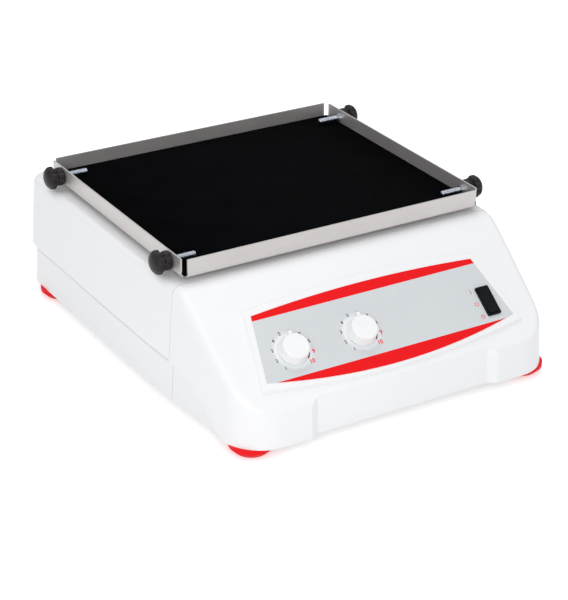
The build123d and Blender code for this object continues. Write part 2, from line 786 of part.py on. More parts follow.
def dial_knob():
    """White dial: a truncated cone with a pointer tab, standing on the panel normal."""
    low = label_thickness + dial_lift
    cone = Pos(0, 0, low) * Cone(dial_base_radius, dial_top_radius, dial_height,
                                 align=(Align.CENTER, Align.CENTER, Align.MIN))
    cone = chamfer(cone.edges().group_by(Axis.Z)[-1], dial_edge)
    pointer = Pos(0, dial_base_radius / 2 + pointer_reach / 2 + 4, low + dial_height - 2.2)
    cone += pointer * Box(pointer_width, dial_base_radius - 8 + pointer_reach, 2.6)
    cone -= rod(dial_pocket_radius, low - 1, low + dial_pocket_depth)
    return cone - rod(pot_shaft_radius, low - 1, low + dial_height - dial_roof)


def pot_shaft():
    low = label_thickness + dial_lift
    return rod(pot_shaft_radius, -plateau_height - wall - pot_shaft_inside, low + dial_height - dial_roof)


def potentiometer():
    """Potentiometer under the panel, with the threaded bush that clamps it."""
    seat = -plateau_height - wall
    body = rod(pot_body_radius, seat - pot_body_length, seat)
    body += block(-6, 6, -pot_body_radius - 5, 0, seat - 4, seat - 2.5)
    body += rod(pot_bush_radius, seat, label_thickness + pot_nut_height + 0.6)
    return body - rod(pot_shaft_radius + run, seat - pot_body_length + 3, 20)


def pot_nut():
    nut = extrude(RegularPolygon(pot_nut_width / 2, 6, major_radius=False), pot_nut_height)
    return Pos(0, 0, label_thickness) * nut - rod(pot_bush_radius + 0.02, -5, 20)


def switch_bezel():
    """Rocker switch body and bezel, snapped into the panel."""
    seat = label_thickness
    bezel = extrude(RectangleRounded(switch_width, switch_length, 1.5), bezel_height)
    bezel = Pos(0, 0, seat) * bezel
    body = block(2 * fit - (switch_width - 2) / 2, (switch_width - 2) / 2 - 2 * fit,
                 2 * fit - (switch_length - 2) / 2, (switch_length - 2) / 2 - 2 * fit, seat - switch_body_depth, seat)
    pocket = block(-rocker_half_width() - 0.35, rocker_half_width() + 0.35, -rocker_half_length() - 0.35,
                   rocker_half_length() + 0.35, seat - rocker_depth - 2, seat + 20)
    pin_reach = 2 * (rocker_half_width() + rocker_pin_length + run)
    pin_hole = Pos(0, 0, seat) * Cylinder(rocker_pin_radius + run, pin_reach, rotation=(0, 90, 0))
    terminals = [block(-2.4, 2.4, y - 0.4, y + 0.4, seat - switch_body_depth - 8, seat - switch_body_depth)
                 for y in (-9, 0, 9)]
    shape = bezel + body - pocket - pin_hole
    for blade in terminals:
        shape += blade
    return shape


def rocker_half_width():
    return switch_width / 2 - bezel_rim - 0.6


def rocker_half_length():
    return switch_length / 2 - bezel_rim - 0.6


def rocker():
    """Three-position rocker: round ends about its pivot and a dished top."""
    long, wide = rocker_half_length(), rocker_half_width()
    barrel = Cylinder(long, 2 * wide, rotation=(0, 90, 0))
    ends = rocker_rise + bezel_height
    top = make_face([Line((-2 * long, -rocker_depth), (2 * long, -rocker_depth)),
                     Line((2 * long, -rocker_depth), (2 * long, ends + 1.6)),
                     ThreePointArc((2 * long, ends + 1.6), (0, bezel_height), (-2 * long, ends + 1.6)),
                     Line((-2 * long, ends + 1.6), (-2 * long, -rocker_depth))])
    body = barrel & extrude(Plane.YZ * top, amount=wide, both=True)
    pins = Cylinder(rocker_pin_radius, 2 * (wide + rocker_pin_length), rotation=(0, 90, 0))
    return Pos(0, 0, label_thickness) * (body + pins)


def control_label():
    """Thin printed panel overlay with its three openings."""
    sheet_face = plateau_outline(0.0)
    label = extrude(sheet_face, label_thickness)
    for x, y in (speed_dial, time_dial):
        label -= rod(pot_bush_radius + fit, -1, 2, (x, y))
    x, y = switch_place
    label -= block(x - (switch_width - 2) / 2, x + (switch_width - 2) / 2, y - (switch_length - 2) / 2,
                   y + (switch_length - 2) / 2, -1, 2)
    return panel.location * label


def part_on_board(across, back, size, lift=0.0):
    """Box-shaped component standing on the board, by its centre."""
    x, y = board_centre[0] + across, board_centre[1] + back
    low = board_z + board_size[2] + lift
    return block(x - size[0] / 2, x + size[0] / 2, y - size[1] / 2, y + size[1] / 2, low, low + size[2])


def board_components():
    """Transformer, capacitors, relay, finned cooler and plug strip on the control board."""
    top = board_z + board_size[2]
    half_x, half_y = board_size[0] / 2, board_size[1] / 2
    at = transformer_from_end - half_x
    transformer = part_on_board(at, 0, transformer_core)
    transformer += part_on_board(at, 0, transformer_coil, (transformer_core[2] - transformer_coil[2]) / 2)
    caps = [rod(capacitor_radius, top, top + capacitor_height, (board_centre[0] + k * capacitor_pitch,
                                                                board_centre[1] - half_y / 2)) for k in (0, 1)]
    relay = part_on_board(relay_size[0] / 4, half_y / 2 - relay_size[1] / 4, relay_size)
    cooler_at = (half_x - 2 * board_post_inset - cooler_size[0] / 2, -board_post_inset)
    cooler = part_on_board(*cooler_at, cooler_size)
    step = (cooler_size[0] - cooler_fin) / (cooler_fins - 1)
    for k in range(cooler_fins):
        across = cooler_at[0] + (k - (cooler_fins - 1) / 2) * step
        cooler += part_on_board(across, cooler_at[1], (cooler_fin, cooler_size[1], cooler_height))
    strip = part_on_board(cooler_at[0] - strip_size[0] / 4, half_y - 2 * board_post_inset, strip_size)
    return group([transformer, *caps, relay, cooler, strip])


def inlet():
    """Mains inlet: flange, body behind the wall and the open socket well."""
    w, h, t = inlet_flange
    flange = extrude(RectangleRounded(w, h, 5.0), t)
    bw, bh, bd = inlet_body
    body = flange + block(-bw / 2, bw / 2, -bh / 2, bh / 2, -bd, 0)
    cw, ch, cd = inlet_cavity
    body -= block(-cw / 2, cw / 2, -ch / 2, ch / 2, t - cd, t + 1)
    for x in (-1, 0, 1):
        body -= Pos(x * inlet_pin_pitch, 0, 0) * Box(inlet_pin[0], inlet_pin[1], 3 * bd)
    for side in (-1, 1):
        body -= Pos(side * inlet_screw_pitch / 2, 0, 0) * Cylinder(inlet_screw_radius + fit, 4 * inlet_flange[2])
    return inlet_location() * Pos(0, 0, seat_gap) * body


def inlet_pins():
    t, depth = inlet_flange[2], inlet_body[2]
    low = -depth - 7
    high = t - inlet_cavity[2] + inlet_pin[2]
    blade = Pos(0, 0, (low + high) / 2) * Box(inlet_pin[0], inlet_pin[1], high - low)
    return group([inlet_location() * Pos(k * inlet_pin_pitch, 0, seat_gap) * blade for k in (-1, 0, 1)])


def flipped(xy, z):
    """Location for a screw that points up from its seat at height z."""
    return Pos(xy[0], xy[1], z) * Rot(180, 0, 0)


# Housing pieces
save("front_housing", front_housing())
save("top_cover", top_cover())
save("base_pan", base_pan())
save("rubber_feet", group([Pos(x, y, 0) * foot() for x, y in foot_places]))
foot_screw_length = foot_height - foot_screw_sink + foot_boss_height - 2
save("foot_screws", group([flipped(xy, foot_screw_sink) * screw(foot_screw_length) for xy in foot_places]))
cover_screw_length = parting_z - base_z - cover_sink + thread_reach
cover_screws = [flipped(xy, base_z + cover_sink) * screw(cover_screw_length)
                for y in cover_post_ys for xy in mirrored((cover_post_x, y))]
front_screws = [flipped(xy, base_z + front_sink) * screw(thread_reach) for xy in mirrored(front_post)]
save("housing_screws", group(cover_screws + front_screws))

# Orbit drive
save("chassis_plate", chassis_plate())
save("chassis_screws", group([Pos(*xy, plate_top_z) * screw(plate_thickness + thread_reach - 1)
                              for y in plate_post_ys for xy in mirrored((plate_post_x, y))]))
names = ("drive", "right", "left")
for name, xy in zip(names, spindles):
    save(f"{name}_bearing_housing", bearing_housing(xy))
    low = pulley_z - weight_thickness + weight_shaft_stop if name == "drive" else plate_z
    shaft = crank(xy, low)
    if name == "drive":
        shaft -= tube(shaft_radius + 1, pulley_shaft_radius, low - 1, pulley_z + pulley_width, xy)
    save(f"{name}_crank", shaft)
    save(f"{name}_bearing_races", races(xy))
save("spindle_bearings", group([tube(shaft_bearing_radius, shaft_race_radius + shield_gap, z,
                                     z + shaft_bearing_width, xy)
                                for xy in spindles for z in (lower_bearing_z, upper_bearing_z)]))
save("flange_screws", group([Pos(x, y, plate_top_z + flange_thickness) * screw(flange_thickness + plate_thickness)
                             for xy in spindles for x, y in flange_bolt_places(xy)]))
big_pulley = groove_pulley(pulley_radius, pulley_shaft_radius, pulley_hub_radius, pulley_z, drive_xy)
for xy in weight_screw_places():
    big_pulley -= rod(screw_radius + run, pulley_z - 1, pulley_z + pulley_web + 1, xy)
save("drive_pulley", big_pulley)
save("counterweight", counterweight())
save("counterweight_screws", group([flipped(xy, pulley_z - weight_thickness) * screw(weight_thickness + pulley_web)
                                    for xy in weight_screw_places()]))
save("motor_pulley", groove_pulley(motor_pulley_radius, motor_shaft_radius, motor_pulley_radius, pulley_z, motor_xy))
save("motor_shaft", rod(motor_shaft_radius, pulley_z, plate_top_z + motor_shaft_inside, motor_xy))
save("drive_motor", motor())
save("motor_screws", group([flipped(xy, plate_z) * screw(plate_thickness + short_reach)
                            for xy in motor_screw_places()]))
save("drive_belt", belt())

# Platform
save("tray_carrier", carrier())
save("bearing_cups", group([pin_cup(xy) for xy in pins]))
save("pin_bearings", group([tube(pin_bearing_radius, pin_race_radius + shield_gap, pin_bearing_z,
                                 pin_bearing_z + pin_bearing_width - 0.3, xy) for xy in pins]))
save("tray", tray())
mat = block(sheet + mat_gap - tray_width / 2, tray_width / 2 - sheet - mat_gap,
            sheet + mat_gap - tray_depth / 2, tray_depth / 2 - sheet - mat_gap, sheet, sheet + mat_thickness)
save("rubber_mat", Pos(0, tray_y, tray_z) * mat)
flat_screw = countersink(sheet + carrier_thickness, tray_screw_head, screw_radius)
flat_screw -= Box(1.3 * tray_screw_head, slot_width, sheet)
save("tray_screws", group([Pos(x, tray_y + y, tray_z + sheet) * flat_screw for x, y in tray_screw_places()]))
corners = {"front_left": (-1, -1), "front_right": (1, -1), "rear_left": (-1, 1), "rear_right": (1, 1)}
save("wall_nuts", group([thumb_place(*c) * wall_nut() for c in corners.values()]))
for name, corner in corners.items():
    save(f"{name}_stud", thumb_place(*corner) * stud())
    save(f"{name}_thumb_knob", thumb_place(*corner) * thumb_knob())

# Controls
save("control_label", control_label())
for name, place in (("speed", speed_dial), ("time", time_dial)):
    save(f"{name}_knob", on_panel(place) * dial_knob())
    save(f"{name}_shaft", on_panel(place) * pot_shaft())
    save(f"{name}_potentiometer", on_panel(place) * potentiometer())
save("potentiometer_nuts", group([on_panel(place) * pot_nut() for place in (speed_dial, time_dial)]))
save("switch_bezel", on_panel(switch_place) * switch_bezel())
save("switch_rocker", on_panel(switch_place) * rocker())

# Electronics and inlet
x, y = board_centre
board = block(x - board_size[0] / 2, x + board_size[0] / 2, y - board_size[1] / 2, y + board_size[1] / 2,
              board_z, board_z + board_size[2])
for xy in board_posts():
    board -= rod(board_screw_radius + fit, board_z - 1, board_z + board_size[2] + 1, xy)
save("control_board", board)
save("board_components", board_components())
board_screw = screw(board_size[2] + short_reach - 1, board_screw_head, board_screw_radius)
save("board_screws", group([Pos(*xy, board_z + board_size[2]) * board_screw for xy in board_posts()]))
save("power_inlet", inlet())
save("inlet_pins", inlet_pins())
inlet_screw = screw(inlet_flange[2] + wall + short_reach - 2, inlet_screw_head, inlet_screw_radius,
                    inlet_screw_head_height)
save("inlet_screws", group([inlet_location() * Pos(side * inlet_screw_pitch / 2, 0, inlet_flange[2] + seat_gap)
                            * inlet_screw for side in (-1, 1)]))
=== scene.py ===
import json
from math import cos, pi, radians, sin, tau

import bmesh
import bpy
import numpy as np
from mathutils import Matrix, Vector

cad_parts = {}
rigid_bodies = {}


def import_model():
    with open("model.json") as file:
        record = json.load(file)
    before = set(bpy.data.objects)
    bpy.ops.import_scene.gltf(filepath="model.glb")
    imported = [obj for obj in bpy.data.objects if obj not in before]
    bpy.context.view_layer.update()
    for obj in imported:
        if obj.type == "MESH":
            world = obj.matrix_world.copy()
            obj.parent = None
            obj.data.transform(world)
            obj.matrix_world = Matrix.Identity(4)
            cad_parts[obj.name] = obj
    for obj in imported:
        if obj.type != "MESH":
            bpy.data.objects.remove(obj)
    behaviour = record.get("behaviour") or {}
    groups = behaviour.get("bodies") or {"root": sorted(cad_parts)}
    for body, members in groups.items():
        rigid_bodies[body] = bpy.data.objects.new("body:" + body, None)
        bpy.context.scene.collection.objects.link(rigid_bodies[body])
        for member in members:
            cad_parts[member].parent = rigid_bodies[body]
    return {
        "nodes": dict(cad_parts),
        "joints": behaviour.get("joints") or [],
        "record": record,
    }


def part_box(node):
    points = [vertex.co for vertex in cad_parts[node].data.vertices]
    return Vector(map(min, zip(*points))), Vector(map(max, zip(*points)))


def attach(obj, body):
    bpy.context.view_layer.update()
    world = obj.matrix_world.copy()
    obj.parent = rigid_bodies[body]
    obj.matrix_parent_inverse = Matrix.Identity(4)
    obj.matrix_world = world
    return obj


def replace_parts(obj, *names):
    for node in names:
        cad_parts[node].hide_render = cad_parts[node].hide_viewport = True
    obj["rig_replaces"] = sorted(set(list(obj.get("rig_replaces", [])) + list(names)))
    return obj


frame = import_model()
nodes = frame["nodes"]
joints = {joint["name"]: joint for joint in frame["joints"]}
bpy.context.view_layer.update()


# The photographer's camera
# A short telephoto view from the front left and above. Its place, turn and
# focal length come from the tray's four corners and the housing's edges.
camera_place = Vector((-0.893714, -1.459965, 0.881391))
camera_right = Vector((0.85566, -0.51742, 0.01071))
camera_up = Vector((0.22261, 0.38665, 0.89496))
focal_length_px = 1903.25
frame_height_px = 600
film_width = 36.0

lens = bpy.data.cameras.new("photographer")
lens.sensor_width = film_width
lens.lens = focal_length_px * film_width / frame_height_px
lens.clip_start = 0.05
lens.clip_end = 30.0
camera = bpy.data.objects.new("photographer", lens)
bpy.context.scene.collection.objects.link(camera)
camera_back = camera_right.cross(camera_up)
turn = Matrix((camera_right, camera_up, camera_back)).transposed()
camera.matrix_world = Matrix.Translation(camera_place) @ turn.to_4x4()
bpy.context.scene.camera = camera
bpy.context.scene.view_settings.view_transform = "Standard"


# The white studio
# A pale table that runs out to a white background, one large softbox from the
# upper left and front, a weaker one from the right, and an overhead panel.
floor_reach = 3.0
floor_colour = (0.93, 0.93, 0.93, 1.0)
room_light = (0.95, 0.97, 1.0, 1.0)
room_strength = 0.66
table_glow = 0.42


def link(tree, source, target):
    """One wire between two sockets."""
    tree.links.new(source, target)


def new_node(tree, kind, **values):
    """A shader node of a kind, with its own settings and the values of its named inputs."""
    node = tree.nodes.new(kind)
    for key, value in values.items():
        if key in node.inputs:
            node.inputs[key].default_value = value
        else:
            setattr(node, key, value)
    return node


def white_for_the_camera(tree, seen_strength):
    """A factor that is seen_strength for camera, mirror and glass rays and 0 for the rest."""
    path = new_node(tree, "ShaderNodeLightPath")
    mirror = new_node(tree, "ShaderNodeMath", operation="MAXIMUM")
    glass = new_node(tree, "ShaderNodeMath", operation="MAXIMUM")
    level = new_node(tree, "ShaderNodeMath", operation="MULTIPLY")
    link(tree, path.outputs["Is Camera Ray"], mirror.inputs[0])
    link(tree, path.outputs["Is Glossy Ray"], mirror.inputs[1])
    link(tree, mirror.outputs[0], glass.inputs[0])
    link(tree, path.outputs["Is Transmission Ray"], glass.inputs[1])
    link(tree, glass.outputs[0], level.inputs[0])
    level.inputs[1].default_value = seen_strength
    return level.outputs[0]


world = bpy.data.worlds.new("studio")
world.use_nodes = True
bpy.context.scene.world = world
room = world.node_tree
room.nodes.clear()
room_out = new_node(room, "ShaderNodeOutputWorld")
lit = new_node(room, "ShaderNodeBackground", Color=room_light, Strength=room_strength)
seen = new_node(room, "ShaderNodeBackground", Color=(1.0, 1.0, 1.0, 1.0), Strength=1.0)
choose = new_node(room, "ShaderNodeMixShader")
room_path = new_node(room, "ShaderNodeLightPath")
link(room, room_path.outputs["Is Camera Ray"], choose.inputs["Fac"])
link(room, lit.outputs[0], choose.inputs[1])
link(room, seen.outputs[0], choose.inputs[2])
link(room, choose.outputs[0], room_out.inputs["Surface"])

floor_mesh = bpy.data.meshes.new("table_top")
floor_mesh.from_pydata([(-floor_reach, -floor_reach, 0.0), (floor_reach, -floor_reach, 0.0),
                        (floor_reach, floor_reach, 0.0), (-floor_reach, floor_reach, 0.0)], [], [(0, 1, 2, 3)])
floor = bpy.data.objects.new("table_top", floor_mesh)
bpy.context.scene.collection.objects.link(floor)
table_white = bpy.data.materials.new("table_white")
table_white.use_nodes = True
table_tree = table_white.node_tree
table_shader = table_tree.nodes["Principled BSDF"]
table_shader.inputs["Base Color"].default_value = floor_colour
table_shader.inputs["Roughness"].default_value = 0.9
table_shader.inputs["Specular IOR Level"].default_value = 0.0
table_shader.inputs["Emission Color"].default_value = (1.0, 1.0, 1.0, 1.0)
link(table_tree, white_for_the_camera(table_tree, table_glow), table_shader.inputs["Emission Strength"])
floor_mesh.materials.append(table_white)


def softbox(name, place, aim, width, height, watts, colour):
    """A rectangular area light at a place, facing a point."""
    data = bpy.data.lights.new(name, "AREA")
    data.shape = "RECTANGLE"
    data.size = width
    data.size_y = height
    data.energy = watts
    data.color = colour
    lamp = bpy.data.objects.new(name, data)
    bpy.context.scene.collection.objects.link(lamp)
    lamp.location = place
    lamp.rotation_mode = "QUATERNION"
    lamp.rotation_quaternion = (Vector(aim) - Vector(place)).to_track_quat("-Z", "Y")


softbox("key_softbox", (-0.95, -1.3, 0.85), (0.0, 0.0, 0.08), 1.0, 0.8, 9.6, (1.0, 0.99, 0.97))
softbox("right_softbox", (1.9, -0.6, 1.1), (0.0, 0.0, 0.08), 1.0, 1.0, 1.0, (0.93, 0.96, 1.0))
softbox("overhead_panel", (0.1, 0.3, 1.9), (0.0, 0.0, 0.10), 1.3, 1.3, 9.8, (1.0, 1.0, 1.0))


# Moulded housing
# Three injection mouldings in white ABS with a fine satin texture: the control
# housing in front, the cover behind it and the base pan. Real gaps part them.
housing_white = (0.88, 0.88, 0.885)
housing_shade = (0.855, 0.855, 0.862)
rough_spread = 0.06
cad_weld = 2e-6


def finished(name, base, roughness, metallic=0.0, second=None, grain=900.0, drift=14.0, relief=0.0,
             gloss=0.5):
    """A finish with a slow drift between two tints, and a fine grain in its roughness and relief.

    The drift and the grain come from the shared group moulding_grain, read in Object coordinates.
    """
    material = bpy.data.materials.new(name)
    material.use_nodes = True
    tree = material.node_tree
    shader = tree.nodes["Principled BSDF"]
    shader.inputs["Metallic"].default_value = metallic
    shader.inputs["Specular IOR Level"].default_value = gloss
    place = new_node(tree, "ShaderNodeTexCoord")
    texture = new_node(tree, "ShaderNodeGroup", node_tree=moulding_grain)
    texture.inputs["Grain"].default_value = grain
    texture.inputs["Drift"].default_value = drift
    texture.inputs["Low"].default_value = roughness - rough_spread
    texture.inputs["High"].default_value = roughness + rough_spread
    link(tree, place.outputs["Object"], texture.inputs["Place"])
    link(tree, texture.outputs["Roughness"], shader.inputs["Roughness"])
    tint = new_node(tree, "ShaderNodeMix", data_type="RGBA")
    tint.inputs["A"].default_value = (*base, 1.0)
    tint.inputs["B"].default_value = (*(second or base), 1.0)
    link(tree, texture.outputs["Tint"], tint.inputs["Factor"])
    link(tree, tint.outputs["Result"], shader.inputs["Base Color"])
    if relief:
        bump = new_node(tree, "ShaderNodeBump", Strength=1.0, Distance=relief)
        link(tree, texture.outputs["Height"], bump.inputs["Height"])
        link(tree, bump.outputs["Normal"], shader.inputs["Normal"])
    return material


def grain_group():
    """Shader group: a fine noise for height and roughness, and a slow noise for tint."""
    group = bpy.data.node_groups.new("moulding_grain", "ShaderNodeTree")
    socket = group.interface.new_socket
    socket("Place", in_out="INPUT", socket_type="NodeSocketVector")
    for name in ("Grain", "Drift", "Low", "High"):
        socket(name, in_out="INPUT", socket_type="NodeSocketFloat")
    for name in ("Tint", "Roughness", "Height"):
        socket(name, in_out="OUTPUT", socket_type="NodeSocketFloat")
    start = group.nodes.new("NodeGroupInput")
    end = group.nodes.new("NodeGroupOutput")
    fine = new_node(group, "ShaderNodeTexNoise", Detail=3.0)
    slow = new_node(group, "ShaderNodeTexNoise", Detail=2.0)
    spread = new_node(group, "ShaderNodeMapRange")
    for noise, scale in ((fine, "Grain"), (slow, "Drift")):
        link(group, start.outputs["Place"], noise.inputs["Vector"])
        link(group, start.outputs[scale], noise.inputs["Scale"])
    link(group, fine.outputs["Fac"], spread.inputs["Value"])
    link(group, start.outputs["Low"], spread.inputs["To Min"])
    link(group, start.outputs["High"], spread.inputs["To Max"])
    link(group, slow.outputs["Fac"], end.inputs["Tint"])
    link(group, spread.outputs["Result"], end.inputs["Roughness"])
    link(group, fine.outputs["Fac"], end.inputs["Height"])
    return group


def smoothed(node, body, material, crease=28.0):
    """A copy of a CAD node with its doubles merged and its curved faces shaded smooth.

    Edges that turn by more than the crease angle stay sharp, and weighted normals keep flats flat.
    """
    shape = bmesh.new()
    shape.from_mesh(nodes[node].data)
    bmesh.ops.remove_doubles(shape, verts=shape.verts, dist=cad_weld)
    limit = radians(crease)
    for edge in shape.edges:
        edge.smooth = edge.calc_face_angle(0.0) < limit
    for face in shape.faces:
        face.smooth = True
        face.material_index = 0
    mesh = bpy.data.meshes.new(node + "_skin")
    shape.to_mesh(mesh)
    shape.free()
    piece = bpy.data.objects.new(node + "_skin", mesh)
    bpy.context.scene.collection.objects.link(piece)
    weighted = piece.modifiers.new("even_shading", "WEIGHTED_NORMAL")
    weighted.keep_sharp = True
    weighted.weight = 100
    mesh.materials.append(material)
    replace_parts(piece, node)
    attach(piece, body)
    return piece


moulding_grain = grain_group()
housing_abs = finished("housing_abs", housing_white, 0.36, second=housing_shade, grain=2600.0, drift=9.0,
                       relief=0.00002, gloss=0.45)
for part in ("front_housing", "top_cover", "base_pan"):
    smoothed(part, "housing", housing_abs)


# Round feet
# Four red rubber buttons, screwed up into the base pan. Their lower rims are
# moulded round, so each stands on a smaller disc.
foot_red = (0.86, 0.010, 0.014)
foot_red_deep = (0.80, 0.008, 0.012)
foot_rubber = finished("foot_rubber", foot_red, 0.50, second=foot_red_deep, grain=1500.0, drift=60.0,
                       relief=0.00003, gloss=0.12)
smoothed("rubber_feet", "housing", foot_rubber)


# Screws
# Hexagon screws in bright zinc plate that hold the feet, the mouldings and
# the inlet. Those under the base and beside the inlet can be seen.
zinc_tint = (0.62, 0.64, 0.68)
zinc_blue = (0.52, 0.57, 0.64)
zinc_plate = finished("zinc_plate", zinc_tint, 0.30, metallic=1.0, second=zinc_blue, grain=800.0, drift=250.0)
for part in ("foot_screws", "housing_screws", "inlet_screws"):
    smoothed(part, "housing", zinc_plate, crease=40.0)


# Control panel film
# A printed polyester film on the raised panel: silver grey with a red band on
# top and a red lens below, and pale rings of painted highlight where the dials turn.
film_silver = (0.60, 0.625, 0.64)
film_light = (0.66, 0.68, 0.69)
film_red = (0.82, 0.007, 0.010)
# The pale rings round the dials are painted highlight, a glint on the film put in as colour.
painted_ring_highlight = (0.80, 0.82, 0.84)
band_line = 0.0606
lens_line = -0.00225
ring_inner = 0.0160
ring_outer = 0.0210
panel_normal = Vector(joints["speed_turn"]["axis"])
panel_across = Vector((1.0, 0.0, 0.0))
panel_up = panel_normal.cross(panel_across)
dial_centres = [Vector(joints[name]["pos_m"]) for name in ("speed_turn", "time_turn")]
film_low, film_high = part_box("control_label")
dial_up_panel = 0.0230
panel_origin = dial_centres[0] - dial_up_panel * panel_up - dial_centres[0].x * panel_across
film_thickness = 0.0005
top_bow_less = 0.0020
low_bow_more = 0.0037
edge_reach = 0.0035


def on_panel(across, up, height=0.0):
    """A point of the panel from its own coordinates, in the row frame."""
    return panel_origin + float(across) * panel_across + float(up) * panel_up + height * panel_normal


def film_material():
    """Silver film whose red areas are bounded by two lines across the panel, with two pale rings of painted
    highlight.

    The height up the panel is the dot product of the place with the panel's up direction.
    """
    material = finished("panel_film", film_silver, 0.38, second=film_light, grain=3500.0, drift=12.0,
                        relief=0.00001, gloss=0.12)
    tree = material.node_tree
    shader = tree.nodes["Principled BSDF"]
    ground = shader.inputs["Base Color"].links[0].from_socket
    place = new_node(tree, "ShaderNodeTexCoord")
    up = new_node(tree, "ShaderNodeVectorMath", operation="DOT_PRODUCT")
    up.inputs[1].default_value = panel_up
    link(tree, place.outputs["Object"], up.inputs[0])
    base = panel_origin.dot(panel_up)
    above = new_node(tree, "ShaderNodeMath", operation="GREATER_THAN")
    above.inputs[1].default_value = base + band_line
    below = new_node(tree, "ShaderNodeMath", operation="LESS_THAN")
    below.inputs[1].default_value = base + lens_line
    for test in (above, below):
        link(tree, up.outputs["Value"], test.inputs[0])
    # Each dial gets a pale ring of painted highlight on the film.
    for centre in dial_centres:
        reach = new_node(tree, "ShaderNodeVectorMath", operation="DISTANCE")
        reach.inputs[1].default_value = centre + film_thickness * panel_normal
        link(tree, place.outputs["Object"], reach.inputs[0])
        fade = new_node(tree, "ShaderNodeMapRange", interpolation_type="SMOOTHSTEP")
        fade.inputs["From Min"].default_value = ring_outer
        fade.inputs["From Max"].default_value = ring_inner
        link(tree, reach.outputs["Value"], fade.inputs["Value"])
        ring = new_node(tree, "ShaderNodeMix", data_type="RGBA")
        ring.inputs["B"].default_value = (*painted_ring_highlight, 1.0)
        link(tree, fade.outputs["Result"], ring.inputs["Factor"])
        link(tree, ground, ring.inputs["A"])
        ground = ring.outputs["Result"]
    red = new_node(tree, "ShaderNodeMath", operation="MAXIMUM")
    link(tree, above.outputs[0], red.inputs[0])
    link(tree, below.outputs[0], red.inputs[1])
    print_ink = new_node(tree, "ShaderNodeMix", data_type="RGBA")
    print_ink.inputs["B"].default_value = (*film_red, 1.0)
    link(tree, red.outputs[0], print_ink.inputs["Factor"])
    link(tree, ground, print_ink.inputs["A"])
    link(tree, print_ink.outputs["Result"], shader.inputs["Base Color"])
    return material


def bow_edges(film):
    """Shift the film's long edges along the panel by a parabola: deepest in the middle, nothing at the corners."""
    middle, half = (film_low.x + film_high.x) / 2, (film_high.x - film_low.x) / 2
    for vertex in film.data.vertices:
        up = (vertex.co - panel_origin).dot(panel_up)
        share = 1.0 - ((vertex.co.x - middle) / half) ** 2
        if up > band_line:
            vertex.co -= share * top_bow_less * panel_up
        elif up < lens_line + edge_reach:
            vertex.co -= share * low_bow_more * panel_up


bow_edges(smoothed("control_label", "housing", film_material(), crease=20.0))


# Dial scales and switch marks
# Screen-printed ink on the film: the numbers 1 to 10 round each dial, and plain
# on, standby and timer signs by the switch. A short dark arc before the last number is painted shadow at each
# dial's edge.
ink_height = 0.00004
ink_red = finished("ink_red", (0.78, 0.02, 0.03), 0.4, grain=2000.0)
# The dark ink also colours the arcs of painted shadow at the dials' edges.
dark_ink_and_painted_shadow = finished("dark_ink_and_painted_shadow", (0.12, 0.035, 0.04), 0.4, grain=2000.0)
font_size_per_height = 1.35
number_height = 0.0035
red_number_height = 0.0043
last_dark_number = 8
stroke_gain = 0.035
number_radius = 0.0200
first_angle = 225.0
angle_step = -30.0
# A short dark arc at each dial's edge between 9 and 10 is painted shadow of the dial.
painted_shadow_arc = (-44.0, -18.0)
painted_shadow_radius = 0.0155
painted_shadow_width = 0.0013
sign_radius = 0.0019
sign_line = 0.00062
sign_across = 0.1037
on_sign_up = 0.0325
standby_sign_up = 0.0191
timer_sign_up = 0.0052
standby_arc = (125.0, 415.0)
standby_bar = (0.0006, 0.0023)
timer_hand_line = 0.8 * sign_line
timer_minute_hand = 0.65 * sign_radius
timer_hour_hand = 0.5 * sign_radius


def flat_text(words, height):
    """The outline of a word as flat triangles about its middle: points (n, 2) and faces."""
    curve = bpy.data.curves.new("lettering", "FONT")
    curve.body = words
    curve.size = height * font_size_per_height
    curve.align_x = "CENTER"
    curve.align_y = "CENTER"
    curve.resolution_u = 4
    curve.offset = height * stroke_gain
    carrier = bpy.data.objects.new("lettering", curve)
    bpy.context.scene.collection.objects.link(carrier)
    bpy.context.view_layer.update()
    mesh = bpy.data.meshes.new_from_object(carrier)
    points = np.array([vertex.co[:2] for vertex in mesh.vertices])
    faces = [tuple(polygon.vertices) for polygon in mesh.polygons]
    bpy.data.objects.remove(carrier)
    middle = (points.min(0) + points.max(0)) / 2
    return points - middle, faces


def arc_strip(radius, width, start, end, steps=28):
    """A curved line of ink for the signs and of painted shadow by the dials: points at radius minus and plus half
    the width, for angles from start to end.
    """
    angle = np.radians(np.linspace(start, end, steps))
    ray = np.stack([np.cos(angle), np.sin(angle)], axis=1)
    points = np.concatenate([(radius - width / 2) * ray, (radius + width / 2) * ray])
    faces = [(k, steps + k, steps + k + 1, k + 1) for k in range(steps - 1)]
    return points, faces


def bar(x0, y0, x1, y1, width):
    """A straight line of ink: a rectangle along a line, half the width to either side."""
    start, end = np.array((x0, y0)), np.array((x1, y1))
    along = (end - start) / np.linalg.norm(end - start)
    aside = np.array((-along[1], along[0])) * width / 2
    return np.array([start - aside, end - aside, end + aside, start + aside]), [(0, 1, 2, 3)]


def printed(name, drawings):
    """One piece of ink on the film from drawings, each (points, faces, across, up, colour index); a dial's piece
    also holds its arc of painted shadow.
    """
    points, faces, colours = [], [], []
    for shape, outline, across, up, colour in drawings:
        start = len(points)
        points += [on_panel(across + x, up + y, film_thickness + ink_height) for x, y in shape]
        faces += [tuple(start + k for k in face) for face in outline]
        colours += [colour] * len(outline)
    mesh = bpy.data.meshes.new(name)
    mesh.from_pydata(points, [], faces)
    mesh.materials.append(dark_ink_and_painted_shadow)
    mesh.materials.append(ink_red)
    mesh.polygons.foreach_set("material_index", colours)
    piece = bpy.data.objects.new(name, mesh)
    bpy.context.scene.collection.objects.link(piece)
    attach(piece, "housing")


